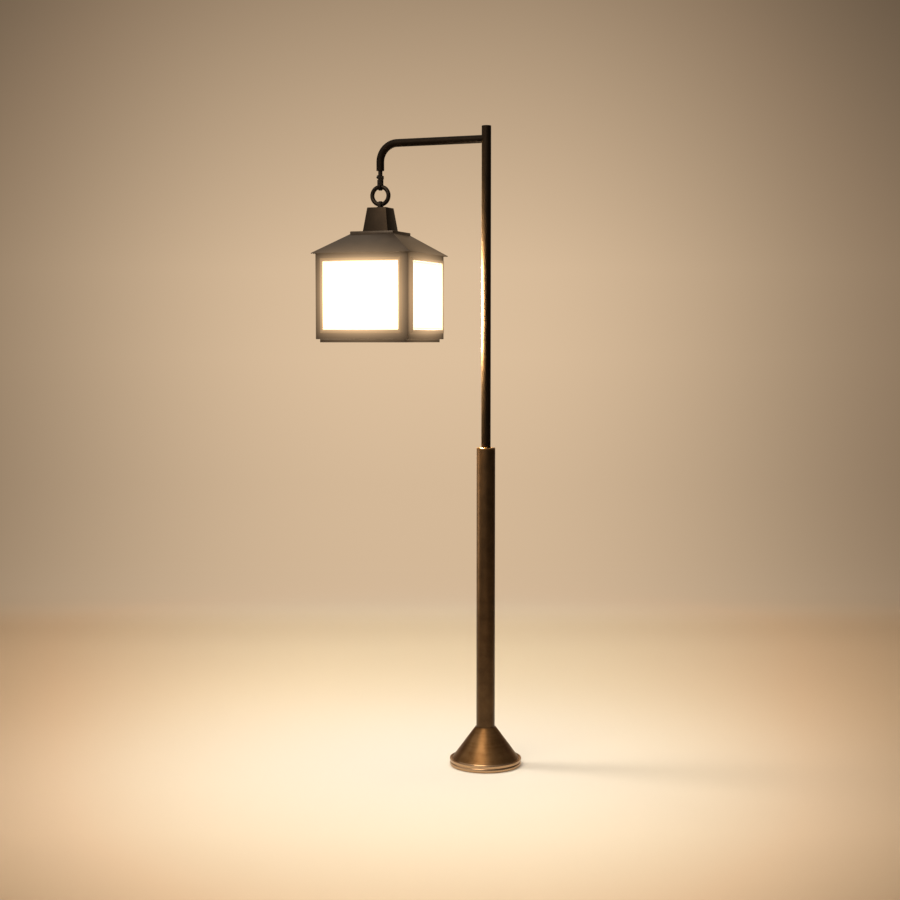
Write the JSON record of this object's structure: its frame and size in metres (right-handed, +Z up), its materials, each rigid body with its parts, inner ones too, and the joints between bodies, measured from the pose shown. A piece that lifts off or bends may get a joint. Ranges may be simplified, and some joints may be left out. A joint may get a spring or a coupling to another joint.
{
  "type": "garden post light",
  "caption": "Stepped round garden post on a spun cone foot, with a bent arm and a square opal-glazed lantern that hangs from a ring in a swivel hook.",
  "frame": {"origin": "centre of the foot on the ground, on the post's axis", "axes": "+Z up along the post, the arm reaches to -X, and -Y is the lantern's front"},
  "size_m": [0.4622, 0.2416, 1.456],
  "materials": {
    "bronze_powder_coat": "satin",
    "brushed_bronze_sheet": "brushed and lacquered",
    "bronze_aluminium_sheet": "textured powder coat",
    "warm_aluminium_frame": "satin",
    "raw_aluminium": "machined",
    "dark_steel": "blackened",
    "zinc_steel": "zinc plated",
    "cast_iron": "as cast, primed",
    "brass": "turned",
    "black_rubber": "matt",
    "black_nylon": "matt",
    "opal_acrylic": "satin",
    "circuit_board": "solder mask",
    "battery_wrap": "shrink film"
  },
  "bodies": {
    "post": {"foot_gasket": "black_rubber", "foot_casting": "cast_iron", "foot_set_screws": "zinc_steel", "lower_post": "bronze_powder_coat", "guide_bush": "raw_aluminium", "post_top_bush": "brushed_bronze_sheet", "post_set_screws": "dark_steel", "upper_post": "bronze_powder_coat", "post_cap": "bronze_powder_coat", "arm": "bronze_powder_coat", "arm_stud": "zinc_steel", "post_top_insert": "zinc_steel", "arm_lock_screw": "zinc_steel", "arm_end_bush": "brass"},
    "cover": {"base_cover": "brushed_bronze_sheet", "cover_seal": "black_rubber"},
    "hook": {"swivel_stem": "dark_steel", "thrust_washer": "brass", "stem_nut": "zinc_steel", "hook_body": "dark_steel", "gate_pin": "zinc_steel", "gate_spring": "zinc_steel"},
    "gate": {"hook_gate": "dark_steel"},
    "ring": {"hanging_ring": "dark_steel"},
    "lantern": {"hanger_eye": "dark_steel", "roof_cap": "bronze_aluminium_sheet", "roof_plate": "bronze_aluminium_sheet", "roof_shell": "bronze_aluminium_sheet", "hanger_bridge": "raw_aluminium", "hanger_nuts": "zinc_steel", "corner_post_front_right": "bronze_aluminium_sheet", "corner_post_rear_right": "bronze_aluminium_sheet", "corner_post_rear_left": "bronze_aluminium_sheet", "corner_post_front_left": "bronze_aluminium_sheet", "top_rails": "bronze_aluminium_sheet", "bottom_rails": "bronze_aluminium_sheet", "glazing_frames": "warm_aluminium_frame", "pane_front": "opal_acrylic", "pane_right": "opal_acrylic", "pane_rear": "opal_acrylic", "pane_left": "opal_acrylic", "pane_clips": "zinc_steel", "battery_pack": "battery_wrap", "engine_plate": "raw_aluminium", "driver_board": "circuit_board", "led_core": "raw_aluminium", "led_boards": "circuit_board", "diffuser": "opal_acrylic", "diffuser_cap": "black_nylon", "cap_screws": "zinc_steel", "switch_body": "black_nylon", "button_spring": "zinc_steel", "charge_socket": "zinc_steel", "hinge_fixed_leaf": "bronze_aluminium_sheet", "hatch_keepers": "zinc_steel"},
    "hatch": {"hatch_tray": "bronze_aluminium_sheet", "hatch_seal": "black_rubber", "hatch_magnets": "zinc_steel", "hinge_pin": "zinc_steel"},
    "button": {"power_button": "black_rubber"}
  },
  "joints": [
    {"name": "cover_lift", "type": "slide", "parent": "post", "child": "cover", "axis": [0, 0, 1], "range_m": [0, 0.15]},
    {"name": "hook_swivel", "type": "hinge", "parent": "post", "child": "hook", "pos_m": [-0.259, 0, 1.364], "axis": [0, 0, 1], "continuous": true},
    {"name": "gate_hinge", "type": "hinge", "parent": "hook", "child": "gate", "pos_m": [-0.259, -0.008, 1.3493], "axis": [1, 0, 0], "range_deg": [0, 35], "stiffness_Nm_per_rad": 0.02, "springref_deg": -28.65, "deforming": ["gate_spring"]},
    {"name": "ring_swing", "type": "hinge", "parent": "hook", "child": "ring", "pos_m": [-0.259, 0, 1.3276], "axis": [1, 0, 0], "range_deg": [-22, 22]},
    {"name": "lantern_swing", "type": "hinge", "parent": "ring", "child": "lantern", "pos_m": [-0.259, 0, 1.2989], "axis": [0, 1, 0], "range_deg": [-25, 25]},
    {"name": "hatch_hinge", "type": "hinge", "parent": "lantern", "child": "hatch", "pos_m": [-0.259, 0.11, 0.9736], "axis": [1, 0, 0], "range_deg": [0, 95]},
    {"name": "button_press", "type": "slide", "parent": "lantern", "child": "button", "axis": [0, 0, 1], "range_m": [0, 0.0015], "stiffness_N_per_m": 400, "springref_m": -0.001, "deforming": ["button_spring"]}
  ]
}
